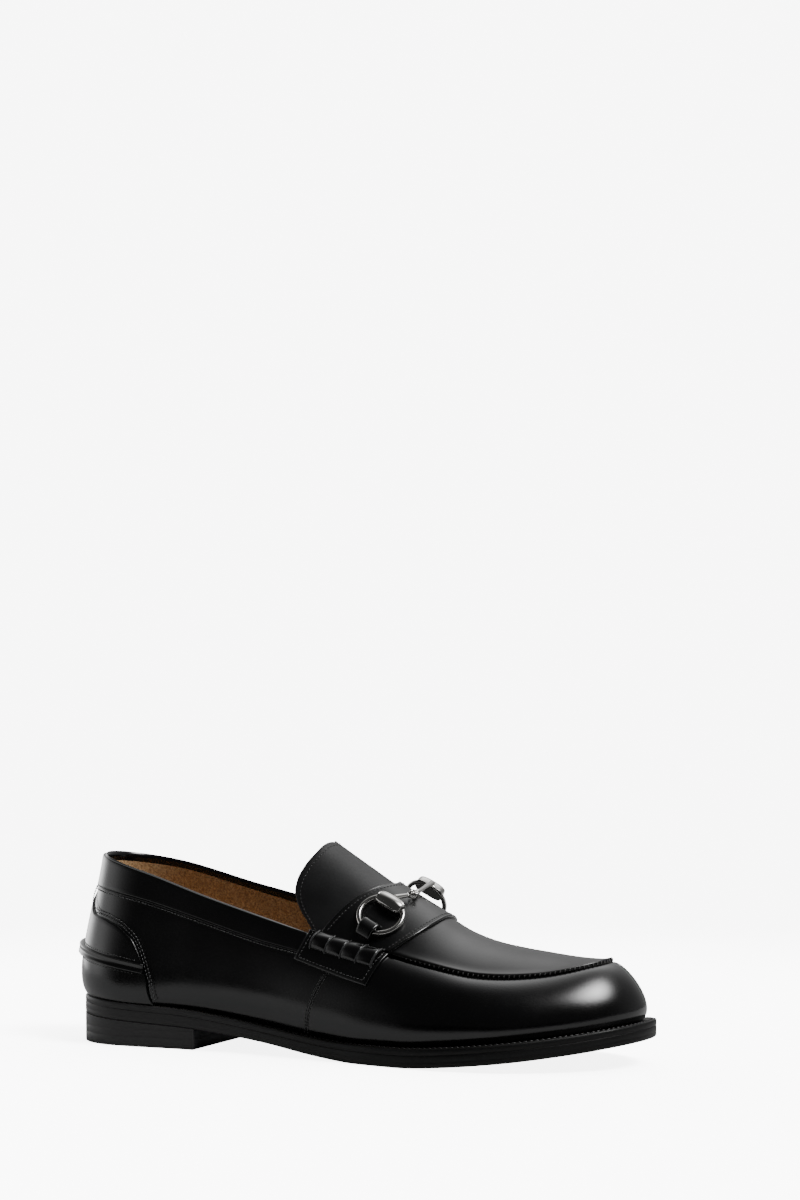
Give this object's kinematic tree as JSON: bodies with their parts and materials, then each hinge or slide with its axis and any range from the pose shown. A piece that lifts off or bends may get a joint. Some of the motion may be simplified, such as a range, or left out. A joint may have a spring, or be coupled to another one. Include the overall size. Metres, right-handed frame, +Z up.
{
  "type": "bit loafer",
  "caption": "Right dress loafer with a raised moc-toe seam, beefroll side tabs, a saddle strap with a snaffle bit, a welted sole and a stacked heel.",
  "frame": {"origin": "centre of the heel's underside, on the floor that the heel and the forefoot rest on", "axes": "+X to the toe, +Y to the wearer's left (the medial side), +Z up"},
  "size_m": [0.3056, 0.1035, 0.1055],
  "materials": {
    "outsole": "smooth black sole leather with a layered edge",
    "welt": "satin black strip with a stitched top",
    "insole": "tan lining leather, matt",
    "heel_top_piece": "matt black",
    "heel_lift_lower": "polished black edge",
    "heel_lift_upper": "polished black edge",
    "upper": "polished black outside, tan lining inside",
    "collar_band": "polished black",
    "heel_counter": "polished black",
    "counter_crossband": "polished black",
    "apron": "polished black",
    "saddle_strap": "polished black",
    "tongue": "satin black",
    "tab_lateral": "glossy black",
    "tab_medial": "glossy black",
    "bit_half_lateral": "polished",
    "bit_half_medial": "polished",
    "ring_keeper_lateral": "glossy black",
    "ring_keeper_medial": "glossy black"
  },
  "bodies": {
    "root": {"outsole": "outsole", "welt": "welt", "insole": "insole", "heel_top_piece": "heel_top_piece", "heel_lift_lower": "heel_lift_lower", "heel_lift_upper": "heel_lift_upper", "upper": "upper", "collar_band": "collar_band", "heel_counter": "heel_counter", "counter_crossband": "counter_crossband", "apron": "apron", "saddle_strap": "saddle_strap", "tongue": "tongue", "tab_lateral": "tab_lateral", "tab_medial": "tab_medial", "bit_half_lateral": "bit_half_lateral", "bit_half_medial": "bit_half_medial", "ring_keeper_lateral": "ring_keeper_lateral", "ring_keeper_medial": "ring_keeper_medial"}
  },
  "joints": []
}
